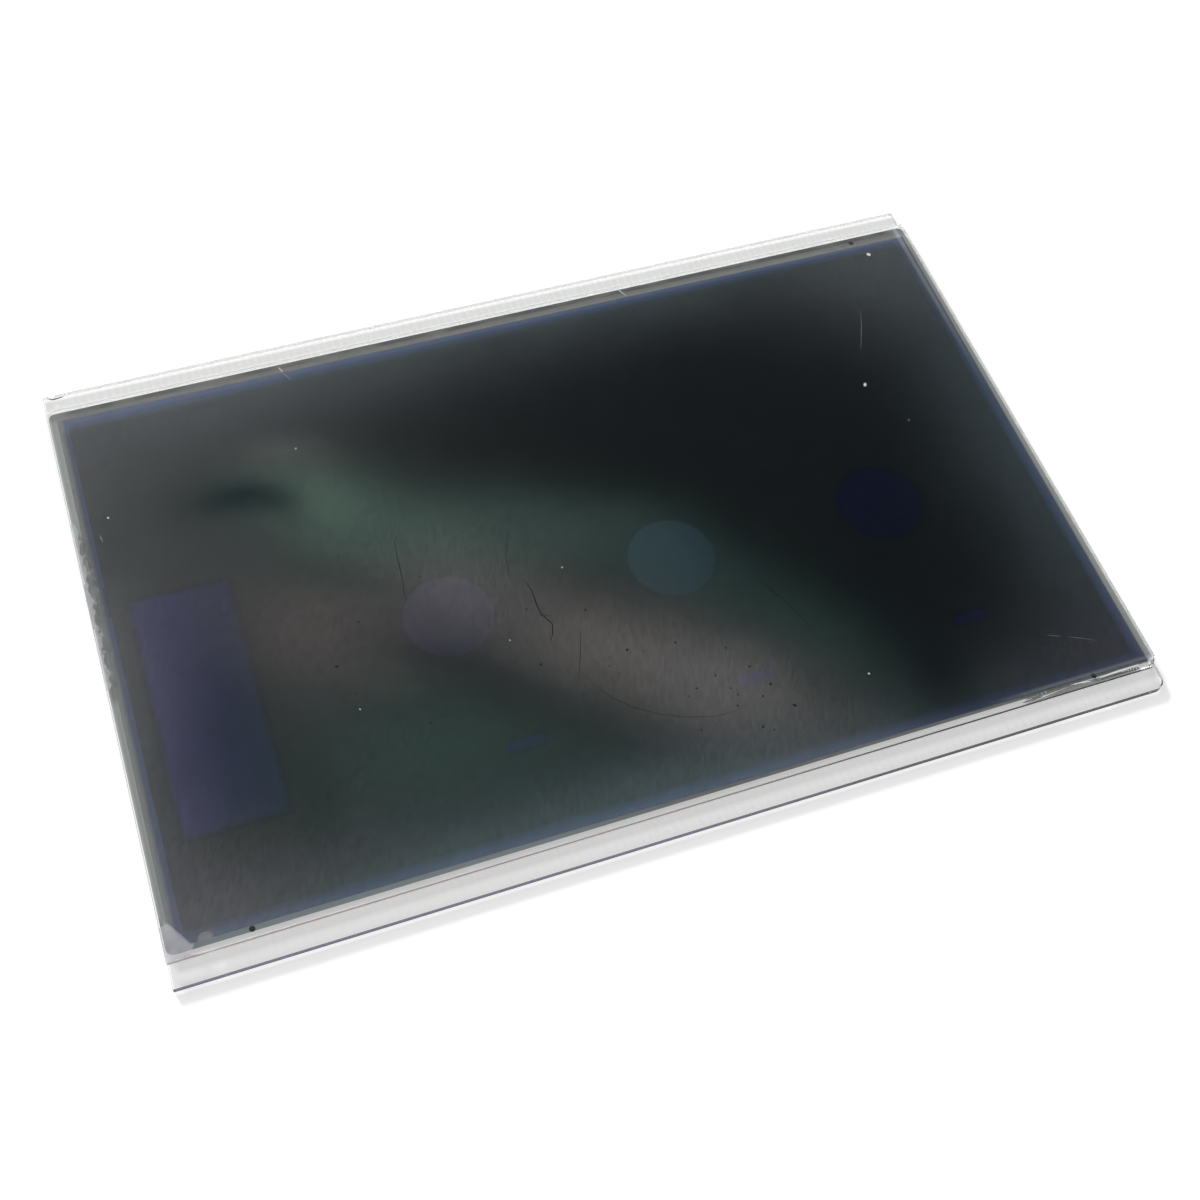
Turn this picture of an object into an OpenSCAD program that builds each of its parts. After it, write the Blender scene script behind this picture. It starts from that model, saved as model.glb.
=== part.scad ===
// Liquid crystal display cell of an excavator's monitor panel. Two glass plates
// are glued round a thin layer of liquid crystal, and a polarising film lies on
// each outer face. The rear plate is deeper than the front one, so a ledge with
// rows of contacts stays bare along both long sides.
// The origin is at the middle of the base. X runs along the long side, -Y is the
// near side, +Y the far side, and +Z is the face that the driver looks at.

/* [Glass plates] */
// Length of both plates, left to right
glass_l = 140; // [130:1:160]
// Depth of the rear plate, near edge to far edge
rear_d = 94; // [90:1:104]
// Thickness of each plate
glass_t = 1.1; // [0.7:0.1:1.6]
// Ledge of the rear plate left bare along the near edge
near_ledge = 3.2; // [2.8:0.1:4.2]
// Ledge of the rear plate left bare along the far edge
far_ledge = 3.7; // [2.8:0.1:4.2]
// Radius of the rear plate's worn near right corner
worn_corner_r = 1.6; // [0.8:0.1:2.4]

/* [Polarising films] */
// Thickness of each film with its glue
film_t = 0.2; // [0.15:0.01:0.3]
// Front plate left bare to the left of the films
film_left = 1.2; // [1:0.1:2]
// Front plate left bare to the right of the films
film_right = 1.3; // [1:0.1:2]
// Front plate left bare between the films and its near edge
film_near = 1.2; // [1:0.1:2]
// Front plate left bare between the films and its far edge
film_far = 2.5; // [1:0.1:3]
// Turn of the front film in degrees, laid on a little crooked
film_turn = -0.2; // [-0.3:0.05:0.3]

/* [Seal and filling] */
// Gap between the plates, filled with liquid crystal
cell_gap = 0.01; // [0.006:0.001:0.02]
// Width of the seal's bead
seal_w = 2.5; // [1.6:0.1:3]
// Gap outside the seal at its left side
seal_left = 0.2; // [0.1:0.1:0.8]
// Gap outside the seal at its right side, where it was trimmed almost flush
seal_right = 0.1; // [0.1:0.1:0.8]
// Gap outside the seal at the front plate's near edge
seal_near = 0.9; // [0.8:0.1:1.4]
// Gap outside the seal at the front plate's far edge
seal_far = 0.2; // [0.2:0.1:0.8]
// Outer corner radius of the seal
seal_r = 1; // [0.5:0.5:5]
// Width of the fill port in the seal's left side
port_w = 5; // [3:0.5:8]
// Centre of the fill port, from the middle of the rear plate towards the far edge
port_y = 9; // [-10:1:20]
// Width of the two lips of the seal that lead to the port
lip_w = 1.2; // [0.8:0.1:2]
// How far the plug stays back from the seal's inner line
plug_back = 0.3; // [0.1:0.1:1.4]

/* [Contacts] */
// Pitch of the contacts along both ledges
pad_pitch = 1.2; // [1:0.1:2]
// Width of a contact
pad_w = 0.7; // [0.4:0.1:0.8]
// Width of the lead that a contact narrows to
lead_w = 0.3; // [0.2:0.05:0.4]
// Length of the lead in front of the front plate's edge
lead_l = 0.6; // [0.4:0.1:1]
// Thickness of the conductive coat
pad_t = 0.004; // [0.002:0.001:0.005]
// Bare glass between the contacts and the rear plate's long edges
pad_edge = 0.4; // [0.2:0.1:0.8]
// Bare glass at each end of a row
row_end = 4; // [3:0.5:10]
// How far the leads run in under the front plate
lead_tuck = 0.3; // [0.1:0.05:0.3]
// Radius of the conductive dots that join the two plates' coats
dot_r = 0.4; // [0.3:0.05:0.5]
// Distance of the dots from the front plate's long edges
dot_edge = 1.2; // [1:0.1:1.6]
// Distance of the left dot from the plates' left edge
dot_left = 10.8; // [8:0.1:14]
// Distance of the right dots from the plates' right edge
dot_right = 9.7; // [8:0.1:14]

/* [Colour patches] */
// Thickness of the colour printed on the front plate's inner face
patch_t = 0.003; // [0.002:0.001:0.004]
// Width of the gauge field at the left
gauge_w = 14.8; // [10:0.2:20]
// Depth of the gauge field
gauge_d = 37.7; // [30:0.1:42]
// Distance of the gauge field from the plates' left edge
gauge_left = 4.8; // [4.2:0.1:7]
// Centre of the gauge field, from the middle of the rear plate
gauge_y = -10.3; // [-14:0.1:0]
// Radius of the three dial fields
dial_r = 6.7; // [4:0.1:8]
// Distance between the dial fields
dial_pitch = 33.3; // [26:0.1:36]
// Centre of the middle dial field, from the middle of the plates to the right
dial_x = 10; // [6:0.1:12]
// Centre of the dial fields, from the middle of the rear plate
dial_y = -6.8; // [-10:0.1:4]
// Width of the label field by each dial
label_w = 6; // [4:0.1:8]
// Depth of the label field
label_d = 2.6; // [1.6:0.1:4]
// Corner radius of the label field
label_r = 0.6; // [0.2:0.1:0.7]
// Distance of a label field to the right of its dial
label_dx = 4.4; // [0:0.1:6]
// Distance of a label field to the near side of its dial
label_dy = 21.8; // [18:0.1:23]

/* [Damage] */
// Length of the shell-shaped flake off the front plate's near edge
flake_l = 16.5; // [8:0.5:20]
// Width of the flake on the front plate's top face
flake_w = 0.55; // [0.3:0.05:0.7]
// Middle of the flake, from the plates' right edge
flake_right = 11; // [10.5:0.5:16]
// Radius of the break in the front plate's near right corner
corner_chip_r = 1.2; // [0.6:0.1:1.4]
// Radius of the nick in the rear plate's far left corner
nick_r = 0.5; // [0.3:0.05:0.7]
// Distance of the nick from the rear plate's left edge
nick_left = 1.3; // [0.8:0.1:2]
// Width of the front film torn off at its near left corner
torn_w = 2.3; // [1:0.1:3]
// Depth of the front film torn off at its near left corner
torn_d = 3.5; // [1:0.1:5]
// Radius of the bite out of the front film's near edge
bite_r = 0.95; // [0.5:0.05:1.2]
// Distance of the bite from the front film's left edge
bite_left = 4; // [4:0.1:6]
// Thickness of the old glue left on the front plate
glue_t = 0.06; // [0.02:0.01:0.1]
// Length of the old glue smeared along the left edge
glue_l = 26; // [10:1:36]
// Least reach of the smear from the left edge
glue_reach = 0.75; // [0.4:0.05:0.9]
// How much further its lumps reach
glue_lump = 0.3; // [0.1:0.05:0.4]

/* [Hidden] */
$fn = 64;

// Cutting tools reach this far past the face that they cut
over = 1;

// Least radius of an inside corner
least_r = 0.3;

// Heights of the layers above the base
z_rear = film_t;
z_gap = z_rear + glass_t;
z_front = z_gap + cell_gap;
z_top = z_front + glass_t;

// Edges of the plates
x_left = -glass_l / 2;
x_right = glass_l / 2;
y_near = -rear_d / 2;
y_far = rear_d / 2;
front_near = y_near + near_ledge;
front_far = y_far - far_ledge;

// Edges of the films
film_x0 = x_left + film_left;
film_y0 = front_near + film_near;
film_w = glass_l - film_left - film_right;
film_d = front_far - front_near - film_near - film_far;

// Outer edges of the seal, its inner corner radius and the inner end of the plug
seal_x0 = x_left + seal_left;
seal_x1 = x_right - seal_right;
seal_y0 = front_near + seal_near;
seal_y1 = front_far - seal_far;
seal_in_r = max(least_r, seal_r - seal_w);
plug_x1 = seal_x0 + seal_w - plug_back;

// Contacts in a row, the place of the first one, and the reach of a lead, which ends at the seal
pad_count = floor((glass_l - 2 * row_end - pad_w) / pad_pitch) + 1;
pad_x0 = -(pad_count - 1) * pad_pitch / 2;
lead_in = min(lead_tuck, seal_near, seal_far);

// Places of the conductive dots and the colour fields
dot_near_y = front_near + dot_edge;
dot_far_y = front_far - dot_edge;
gauge_x = x_left + gauge_left + gauge_w / 2;

// Where the tear of the film's corner bends, as shares of its width and depth
tear_bend = [0.6, 0.45];

// The glue smear is a row of round lumps along the left edge, whose reach swings by
// two waves that turn by these angles from lump to lump
glue_step = 0.9;
glue_count = ceil(glue_l / glue_step);
glue_waves = [97, 41];

// The glue left by the torn corner is a round patch of this radius
glue_corner_r = 0.75 * torn_d;

// Flat shape of a rectangle with round corners, from its low corner to its high one
module rounded(x0, y0, x1, y1, r) {
    translate([x0 + r, y0])
        square([x1 - x0 - 2 * r, y1 - y0]);
    translate([x0, y0 + r])
        square([x1 - x0, y1 - y0 - 2 * r]);
    for (x = [x0 + r, x1 - r])
        for (y = [y0 + r, y1 - r])
            translate([x, y])
                circle(r);
}

// Flat outline of a film as it was cut from its sheet
module film_outline() {
    translate([film_x0, film_y0])
        square([film_w, film_d]);
}

// Flat shape of what is torn from the front film's near left corner
module torn_corner() {
    translate([film_x0, film_y0])
        polygon([
            [-over, -over], [torn_w, -over], [torn_w, 0],
            [torn_w * tear_bend[0], torn_d * tear_bend[1]], [0, torn_d], [-over, torn_d]
        ]);
}

// Flat shape of the front film as it is now
module worn_film() {
    centre = [film_x0 + film_w / 2, film_y0 + film_d / 2];
    translate(centre)
        rotate(film_turn)
            translate(-centre)
                difference() {
                    film_outline();
                    torn_corner();
                    translate([film_x0 + bite_left, film_y0])
                        circle(bite_r);
                }
}

// Flat shape of the gap in the seal's left side where the cell was filled
module port_gap(x0, x1, w) {
    translate([x0, port_y - w / 2])
        square([x1 - x0, w]);
}

// Flat shape of the room inside the seal
module seal_inside() {
    rounded(seal_x0 + seal_w, seal_y0 + seal_w, seal_x1 - seal_w, seal_y1 - seal_w, seal_in_r);
}

// A conductive dot that joins the coats of the two plates
module dot(x, y) {
    color("dimgray")
        translate([x, y, z_gap])
            cylinder(h = cell_gap, r = dot_r);
}

module near_left_dot() {
    dot(x_left + dot_left, dot_near_y);
}

module near_right_dot() {
    dot(x_right - dot_right, dot_near_y);
}

module far_right_dot() {
    dot(x_right - dot_right, dot_far_y);
}

// Film on the underside of the rear plate
module rear_polariser() {
    color("darkslategray")
        linear_extrude(film_t)
            film_outline();
}

// Deeper plate with the contact ledges, worn round at one corner and nicked at another
module rear_glass() {
    color("powderblue")
        difference() {
            translate([x_left, y_near, z_rear])
                cube([glass_l, rear_d, glass_t]);
            translate([x_right - worn_corner_r, y_near + worn_corner_r, z_rear - over])
                difference() {
                    translate([0, -worn_corner_r - over, 0])
                        cube([worn_corner_r + over, worn_corner_r + over, glass_t + 2 * over]);
                    cylinder(h = glass_t + 2 * over, r = worn_corner_r);
                }
            translate([x_left + nick_left, y_far, z_gap])
                sphere(nick_r);
        }
}

// Row of contacts. Each is a pad that narrows to a lead, and reach is the pad's length
module contact_row(reach) {
    color("lightsteelblue")
        for (i = [0 : pad_count - 1])
            translate([pad_x0 + i * pad_pitch, 0, 0]) {
                translate([-pad_w / 2, 0, 0])
                    cube([pad_w, reach, pad_t]);
                translate([-lead_w / 2, 0, 0])
                    cube([lead_w, reach + lead_l + lead_in, pad_t]);
            }
}

// Contacts on the near ledge, with leads that run in under the front plate
module near_contacts() {
    translate([0, y_near + pad_edge, z_gap])
        contact_row(near_ledge - pad_edge - lead_l);
}

// Contacts on the far ledge, the same but facing the other way
module far_contacts() {
    translate([0, y_far - pad_edge, z_gap])
        mirror([0, 1, 0])
            contact_row(far_ledge - pad_edge - lead_l);
}

// Bead of epoxy between the plates, open at the fill port and round the dots
module edge_seal() {
    color("slategray")
        translate([0, 0, z_gap])
            linear_extrude(cell_gap)
                difference() {
                    union() {
                        rounded(seal_x0, seal_y0, seal_x1, seal_y1, seal_r);
                        port_gap(x_left, seal_x0 + seal_w / 2, port_w + 2 * lip_w);
                    }
                    seal_inside();
                    port_gap(x_left - over, seal_x0 + seal_w + over, port_w);
                    for (x = [x_left + dot_left, x_right - dot_right])
                        translate([x, dot_near_y])
                            circle(dot_r);
                    translate([x_right - dot_right, dot_far_y])
                        circle(dot_r);
                }
}

// Resin that closed the port after filling, trimmed flush with the glass
module port_plug() {
    color("oldlace")
        translate([0, 0, z_gap])
            linear_extrude(cell_gap)
                port_gap(x_left, plug_x1, port_w);
}

// Liquid crystal, which fills all the room that the seal, plug and colour patches leave
module liquid_crystal() {
    color([0.1, 0.11, 0.12])
        difference() {
            translate([0, 0, z_gap])
                linear_extrude(cell_gap) {
                    seal_inside();
                    port_gap(plug_x1, seal_x0 + seal_w + over, port_w);
                }
            patch_shape()
                gauge_outline();
            for (i = [-1 : 1]) {
                patch_shape()
                    dial_outline(i);
                patch_shape()
                    label_outline(i);
            }
        }
}

// Outlines of the colour fields. The dials are numbered -1, 0 and 1 from left to right
module gauge_outline() {
    translate([gauge_x - gauge_w / 2, gauge_y - gauge_d / 2])
        square([gauge_w, gauge_d]);
}

module dial_outline(i) {
    translate([dial_x + i * dial_pitch, dial_y])
        circle(dial_r);
}

module label_outline(i) {
    translate([dial_x + i * dial_pitch + label_dx, dial_y - label_dy])
        rounded(-label_w / 2, -label_d / 2, label_w / 2, label_d / 2, label_r);
}

// A colour field is a thin coat on the inner face of the front plate
module patch_shape() {
    translate([0, 0, z_front - patch_t])
        linear_extrude(patch_t)
            children();
}

module gauge_patch() {
    color("slateblue")
        patch_shape()
            gauge_outline();
}

module dial_patch(i) {
    color("royalblue")
        patch_shape()
            dial_outline(i);
}

module label_patch(i) {
    color("mediumblue")
        patch_shape()
            label_outline(i);
}

module left_dial_patch() {
    dial_patch(-1);
}

module middle_dial_patch() {
    dial_patch(0);
}

module right_dial_patch() {
    dial_patch(1);
}

module left_label_patch() {
    label_patch(-1);
}

module middle_label_patch() {
    label_patch(0);
}

module right_label_patch() {
    label_patch(1);
}

// A long flake has left a shell-shaped hollow along the top of the front plate's
// near edge. The hollow is part of a large ball, set back at 45 degrees from the edge
module flake() {
    deep = flake_w / sqrt(2);
    ball_r = (flake_l * flake_l / 4 + deep * deep) / (2 * deep);
    back = (ball_r - deep) / sqrt(2);
    translate([x_right - flake_right, front_near - back, z_top + back])
        sphere(ball_r, $fn = 128);
}

// Shallower plate, which the driver looks through
module front_glass() {
    color("lightcyan")
        difference() {
            translate([x_left, front_near, z_front])
                cube([glass_l, front_far - front_near, glass_t]);
            flake();
            translate([x_right, front_near, z_top])
                sphere(corner_chip_r);
        }
}

// Film on the front plate, with a torn corner and a bite out of its near edge
module front_polariser() {
    color([0.16, 0.18, 0.19])
        translate([0, 0, z_top])
            linear_extrude(film_t)
                worn_film();
}

// Reach of the smear's lump i from the left edge
function lump_reach(i) = glue_reach + glue_lump * sin(glue_waves[0] * i) * cos(glue_waves[1] * i);

// Flat shape of the glue that stayed behind where the film's corner tore off
module glue_corner() {
    translate([film_x0, film_y0 + torn_d / 4])
        circle(glue_corner_r);
}

// Old glue, smeared along the left edge beside the film and left where its corner tore off
module old_glue() {
    color("gainsboro")
        translate([0, 0, z_top])
            linear_extrude(glue_t)
                difference() {
                    intersection() {
                        translate([x_left, front_near])
                            square([glass_l, front_far - front_near]);
                        union() {
                            for (i = [0 : glue_count])
                                translate([x_left, port_y + glue_l / 2 - i * glue_step])
                                    circle(lump_reach(i));
                            glue_corner();
                        }
                    }
                    worn_film();
                }
}

rear_polariser();
rear_glass();
near_contacts();
far_contacts();
edge_seal();
port_plug();
liquid_crystal();
near_left_dot();
near_right_dot();
far_right_dot();
gauge_patch();
left_dial_patch();
middle_dial_patch();
right_dial_patch();
left_label_patch();
middle_label_patch();
right_label_patch();
front_glass();
front_polariser();
old_glue();
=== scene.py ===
"""The display cell of an excavator's monitor panel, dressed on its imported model.

Every length in the classes below is in millimetres, and a mesh is scaled to metres when
it is made. X runs along the long side, -Y is the near side and +Z faces the driver.
Tones are given from 0 to 255, as a picture shows them, unless a line says otherwise.
"""

import logging
import math
import random
from collections.abc import Sequence
from dataclasses import dataclass
from enum import Enum
from functools import reduce

import bmesh
import bpy
from mathutils import Matrix, Vector


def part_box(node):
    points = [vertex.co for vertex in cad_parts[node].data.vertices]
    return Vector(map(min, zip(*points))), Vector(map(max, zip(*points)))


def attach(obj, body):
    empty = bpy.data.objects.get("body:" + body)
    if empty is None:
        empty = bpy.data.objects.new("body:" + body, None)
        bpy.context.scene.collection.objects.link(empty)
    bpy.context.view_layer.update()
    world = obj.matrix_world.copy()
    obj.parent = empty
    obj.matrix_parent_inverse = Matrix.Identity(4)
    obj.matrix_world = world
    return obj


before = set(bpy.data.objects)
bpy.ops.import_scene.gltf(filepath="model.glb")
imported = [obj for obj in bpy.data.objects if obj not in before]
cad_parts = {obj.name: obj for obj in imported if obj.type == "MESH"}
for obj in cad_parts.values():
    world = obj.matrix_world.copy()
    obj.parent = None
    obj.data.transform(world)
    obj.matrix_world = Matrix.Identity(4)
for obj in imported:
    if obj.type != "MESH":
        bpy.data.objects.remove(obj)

LOG = logging.getLogger("display_cell")

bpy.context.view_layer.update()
BODY = "root"

# One millimetre, in metres
MM = 0.001

# Faces that lie on each other are drawn this far apart, so that neither hides the other
SKIN = 0.0005

# The front film is drawn in further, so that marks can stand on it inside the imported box
FILM_SKIN = 0.02

# Refractive index of the glass and of the resins
GLASS_IOR = 1.52

Tone = tuple[float, float, float]
Place = tuple[float, float, float]
Point = tuple[float, float]
Socket = bpy.types.NodeSocket
Material = bpy.types.Material
Shape = bmesh.types.BMesh

# Where a smooth change starts and where it ends
Ramp = tuple[float, float]

# Share of light that the dark liquid crystal throws back
CRYSTAL_TONE: Tone = (0.004, 0.005, 0.006)


def linear(tone: Tone) -> Tone:
    """Shares of light, from 0 to 1, in a tone given from 0 to 255."""
    shares = (level / 255 for level in tone)
    return tuple(s / 12.92 if s <= 0.04045 else ((s + 0.055) / 1.055) ** 2.4 for s in shares)


class Slot(Enum):
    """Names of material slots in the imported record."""

    GLASS = "plate_glass"
    FILM = "front_film"
    GLUE = "old_glue"


@dataclass(frozen=True)
class Span:
    """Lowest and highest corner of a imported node."""

    low: Vector
    high: Vector

    @classmethod
    def of(cls, node: str) -> "Span":
        """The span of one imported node."""
        low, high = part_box(node)
        return cls(low / MM, high / MM)

    @property
    def middle(self) -> Vector:
        """Middle of the span."""
        return (self.low + self.high) / 2

    @property
    def size(self) -> Vector:
        """Length, depth and height of the span."""
        return self.high - self.low


class NodeSheet:
    """A material's nodes, made one at a time. Places on it are in millimetres."""

    def __init__(self, name: str) -> None:
        """Starts an empty material.

        Args:
            name: Name of the material.
        """
        self.material = bpy.data.materials.new(name)
        self.material.use_nodes = True
        self.tree = self.material.node_tree
        self.tree.nodes.clear()
        coords = self.node("TexCoord").outputs["Object"]
        self.place = self.moved(coords, stretch=(1 / MM, 1 / MM, 1 / MM))

    def node(self, kind: str, fed: dict[str | int, object] | None = None,
             **settings: object) -> bpy.types.Node:
        """Adds a node, sets its own settings and feeds its sockets.

        Args:
            kind: Blender's name for the kind of node, less the word ShaderNode.
            fed: Linked or plain values for its sockets, by their name or number.
            **settings: Values of the node's properties.

        Returns:
            The new node.
        """
        made = self.tree.nodes.new("ShaderNode" + kind)
        for key, value in settings.items():
            setattr(made, key, value)
        for key, value in (fed or {}).items():
            self._feed(made.inputs[key], value)
        return made

    def _feed(self, socket: Socket, value: object) -> None:
        """Links a socket to another one, or sets it where value is plain.

        Args:
            socket: The socket.
            value: Another socket, or a plain number, place or tone.
        """
        if isinstance(value, Socket):
            self.tree.links.new(value, socket)
        elif isinstance(value, tuple) and len(value) == 3 and len(socket.default_value) == 4:
            socket.default_value = (*value, 1.0)
        else:
            socket.default_value = value

    def moved(self, vector: object, shift: Sequence[float] = (0, 0, 0), turn: float = 0.0,
              stretch: Sequence[float] = (1, 1, 1), kind: str = "POINT") -> Socket:
        """Scales, turns about Z and then shifts a place.

        Args:
            vector: Place that goes in.
            shift: How far it moves.
            turn: Turn about Z in degrees.
            stretch: Factor along each axis.
            kind: POINT, or TEXTURE to do the opposite.

        Returns:
            The socket with the new place.
        """
        fed = {"Vector": vector, "Location": shift, "Rotation": (0, 0, math.radians(turn)),
               "Scale": stretch}
        return self.node("Mapping", fed, vector_type=kind).outputs["Vector"]

    def warped(self, size: float, reach: float) -> Socket:
        """The piece's own place, pushed about softly.

        Args:
            size: Size of the noise that pushes it.
            reach: How far it is pushed at most.

        Returns:
            The socket with the place.
        """
        push = self.node("TexNoise", {"Vector": self.place, "Scale": 1 / size, "Detail": 3})
        start = self.moved(self.place, shift=(-reach, -reach, 0))
        fed = {0: push.outputs["Color"], 1: (2 * reach, 2 * reach, 0), 2: start}
        return self.node("VectorMath", fed, operation="MULTIPLY_ADD").outputs[0]

    def stroke(self, where: object, at: Point, size: Point, turn: float = 0.0) -> Socket:
        """How strongly a soft stroke covers a place: 1 in its middle, fading to 0 around it.

        Args:
            where: The place.
            at: Middle of the stroke.
            size: Half its length and half its width, where it has faded to a third.
            turn: Turn of its long axis in degrees.

        Returns:
            The socket with the share.
        """
        inside = self.moved(where, (*at, 0), turn, (*size, 1 / MM), "TEXTURE")
        squared = self.node("VectorMath", {0: inside, 1: inside}, operation="DOT_PRODUCT")
        return self.sum("POWER", math.exp(-1), squared.outputs["Value"])

    def axes(self, vector: object) -> tuple[Socket, ...]:
        """X, Y and Z of a place or direction."""
        return tuple(self.node("SeparateXYZ", {0: vector}).outputs)

    def sum(self, operation: str, *values: object) -> Socket:
        """Works out one number, by Blender's name for the sum, such as SUBTRACT."""
        return self.node("Math", dict(enumerate(values)), operation=operation).outputs[0]

    def chain(self, operation: str, *values: object) -> Socket:
        """Works out one number from any count of values, two at a time."""
        return reduce(lambda first, second: self.sum(operation, first, second), values)

    def times(self, *values: object) -> Socket:
        """Product of the values."""
        return self.chain("MULTIPLY", *values)

    def fade(self, value: object, start: float, end: float, low: object = 0.0,
             high: object = 1.0) -> Socket:
        """A smooth change from low to high while value goes from start to end."""
        fed = {"Value": value, "From Min": start, "From Max": end, "To Min": low, "To Max": high}
        return self.node("MapRange", fed, interpolation_type="SMOOTHSTEP").outputs["Result"]

    def within(self, *limits: tuple[Socket, Ramp]) -> Socket:
        """1 where each value has passed its ramp, fading to 0 where one hasn't."""
        return self.times(*(self.fade(value, *ramp) for value, ramp in limits))

    def noise(self, size: float, detail: float = 2.0, roughness: float = 0.5,
              where: object = None) -> Socket:
        """Cloudy noise from 0 to 1. Roughness is the strength of each of its finer layers."""
        fed = {"Vector": where or self.place, "Scale": 1 / size, "Detail": detail,
               "Roughness": roughness}
        return self.node("TexNoise", fed).outputs["Fac"]

    def cloud(self, size: float = 3.0) -> Socket:
        """The noise by which a plain finish drifts from place to place."""
        return self.noise(size, detail=4, roughness=0.6)

    def mix(self, share: object, first: object, second: object) -> Socket:
        """Mixes two tones, given as shares of light."""
        return self.node("Mix", {0: share, 6: first, 7: second}, data_type="RGBA").outputs[2]

    def layered(self, tone: object, *layers: tuple[object, object]) -> Socket:
        """Lays tones over a first one.

        Args:
            tone: The first tone, as shares of light.
            *layers: How much each next one covers, and the tone itself.

        Returns:
            The socket with the tone.
        """
        for share, over in layers:
            tone = self.mix(share, tone, over)
        return tone

    def bump(self, height: object, depth: float) -> Socket:
        """A normal that follows a height, whose full swing is depth."""
        return self.node("Bump", {"Distance": depth * MM, "Height": height}).outputs["Normal"]

    def distance(self, at: Point | Vector = (0, 0)) -> Socket:
        """Distance from a point, seen from above."""
        flat = self.moved(self.place, shift=(-at[0], -at[1], 0), stretch=(1, 1, 0))
        return self.node("VectorMath", {0: flat}, operation="LENGTH").outputs["Value"]

    def frame_distance(self, span: Span, turn: float = 0.0) -> Socket:
        """Distance outside a rectangle's nearest side, or less than 0 inside it.

        Args:
            span: The rectangle.
            turn: Its turn about its middle in degrees.

        Returns:
            The socket with the distance.
        """
        middle = self.moved(self.place, shift=(-span.middle.x, -span.middle.y, 0))
        across, along, _ = self.axes(self.moved(middle, turn=-turn))
        gaps = [self.sum("SUBTRACT", self.sum("ABSOLUTE", value), half)
                for value, half in ((across, span.size.x / 2), (along, span.size.y / 2))]
        return self.sum("MAXIMUM", *gaps)

    def principled(self, **values: object) -> Socket:
        """A Principled shader. Each name is a socket's, with _ for a space."""
        fed = {key.replace("_", " "): value for key, value in values.items()}
        return self.node("BsdfPrincipled", fed).outputs[0]

    def clear(self, tint: object = (1, 1, 1)) -> Socket:
        """A shader that light goes straight through."""
        return self.node("BsdfTransparent", {"Color": tint}).outputs[0]

    def blend(self, share: object, first: Socket, second: Socket) -> Socket:
        """Mixes two shaders."""
        return self.node("MixShader", {0: share, 1: first, 2: second}).outputs[0]

    def from_behind(self) -> Socket:
        """1 where a face is seen from its back, and otherwise 0."""
        return self.node("NewGeometry").outputs["Backfacing"]

    def any_ray(self, *kinds: str) -> Socket:
        """1 for rays of these kinds, such as Camera, and otherwise 0."""
        path = self.node("LightPath").outputs
        return self.chain("MAXIMUM", *(path[f"Is {kind} Ray"] for kind in kinds))

    def finish(self, shader: Socket) -> Material:
        """Puts the shader on the surface and gives the material back."""
        self.node("OutputMaterial", {"Surface": shader})
        return self.material


@dataclass(frozen=True)
class CutGlass:
    """Clear float glass, polished on its faces and dull where it was cut.

    Its tints and tones are shares of light, like the shares that its cut sides let through
    on the way out and on the way in. The cut sides drift between two tints. A dark band of
    painted contact shade, seen from outside only, runs along them up to the height
    shade_band_top. It has two tones, at the left and at the right end.
    """

    name: str
    cut_tint: Tone
    cut_other: Tone
    inner_tint: Tone
    # Tones of the dark band at its left and right end: painted contact shade
    shade_band_left: Tone
    shade_band_right: Tone
    shade_band_top: float
    gloss: float = 1.0
    way_out: float = 0.25
    way_in: float = 0.5
    tint: Tone = (0.975, 0.977, 0.974)
    cut_slope: Ramp = (0.9, 0.5)
    cut_roughness: float = 0.28
    cut_frost: float = 0.45
    shade_band_frost: float = 0.95
    shade_band_blur: float = 0.1
    shade_band_run: Ramp = (-10.0, 45.0)
    smudge_size: float = 9.0
    smudge_roughness: Ramp = (0.02, 0.09)
    drift_size: float = 11.0
    ripple_size: float = 0.35
    ripple_depth: float = 0.02

    def material(self) -> Material:
        """Builds the glass. Lamps shine straight through its faces, and its cut sides shade.

        Returns:
            The material.
        """
        sheet = NodeSheet(self.name)
        geometry = sheet.node("NewGeometry").outputs
        inside = geometry["Backfacing"]
        cut = sheet.fade(sheet.sum("ABSOLUTE", sheet.axes(geometry["Normal"])[2]), *self.cut_slope)
        smudge = sheet.fade(sheet.noise(self.smudge_size), 0.45, 0.75, *self.smudge_roughness)
        ripple = sheet.noise(self.ripple_size, detail=1,
                             where=sheet.moved(sheet.place, stretch=(1, 1, 2.5)))
        drift = sheet.fade(sheet.noise(self.drift_size), 0.4, 0.6)
        cut_tint = sheet.layered(self.cut_tint, (drift, self.cut_other), (inside, self.inner_tint))
        glass = sheet.principled(
            Base_Color=sheet.mix(cut, self.tint, cut_tint), IOR=GLASS_IOR,
            Roughness=sheet.sum("MULTIPLY_ADD", cut, self.cut_roughness, smudge),
            Transmission_Weight=1.0, Specular_Tint=3 * (self.gloss,),
            Normal=sheet.bump(sheet.times(ripple, cut), self.ripple_depth))
        # The dark band along the foot of the cut sides, seen from outside only, is painted contact
        # shade
        x, _, z = sheet.axes(sheet.place)
        low = sheet.fade(z, self.shade_band_top + self.shade_band_blur, self.shade_band_top - self.shade_band_blur)
        band = sheet.times(cut, low, sheet.sum("SUBTRACT", 1.0, inside))
        shade_band_tone = sheet.mix(sheet.fade(x, *self.shade_band_run), self.shade_band_left, self.shade_band_right)
        frost = sheet.node("BsdfTranslucent", {"Color": sheet.mix(band, cut_tint, shade_band_tone)})
        share = sheet.sum("MULTIPLY_ADD", band, self.shade_band_frost - self.cut_frost,
                          sheet.times(cut, self.cut_frost))
        solid = sheet.blend(share, glass, frost.outputs[0])
        shade = sheet.mix(inside, 3 * (self.way_out,), 3 * (self.way_in,))
        clear = sheet.clear(sheet.mix(cut, self.tint, shade))
        return sheet.finish(sheet.blend(sheet.any_ray("Shadow", "Diffuse"), solid, clear))


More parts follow.
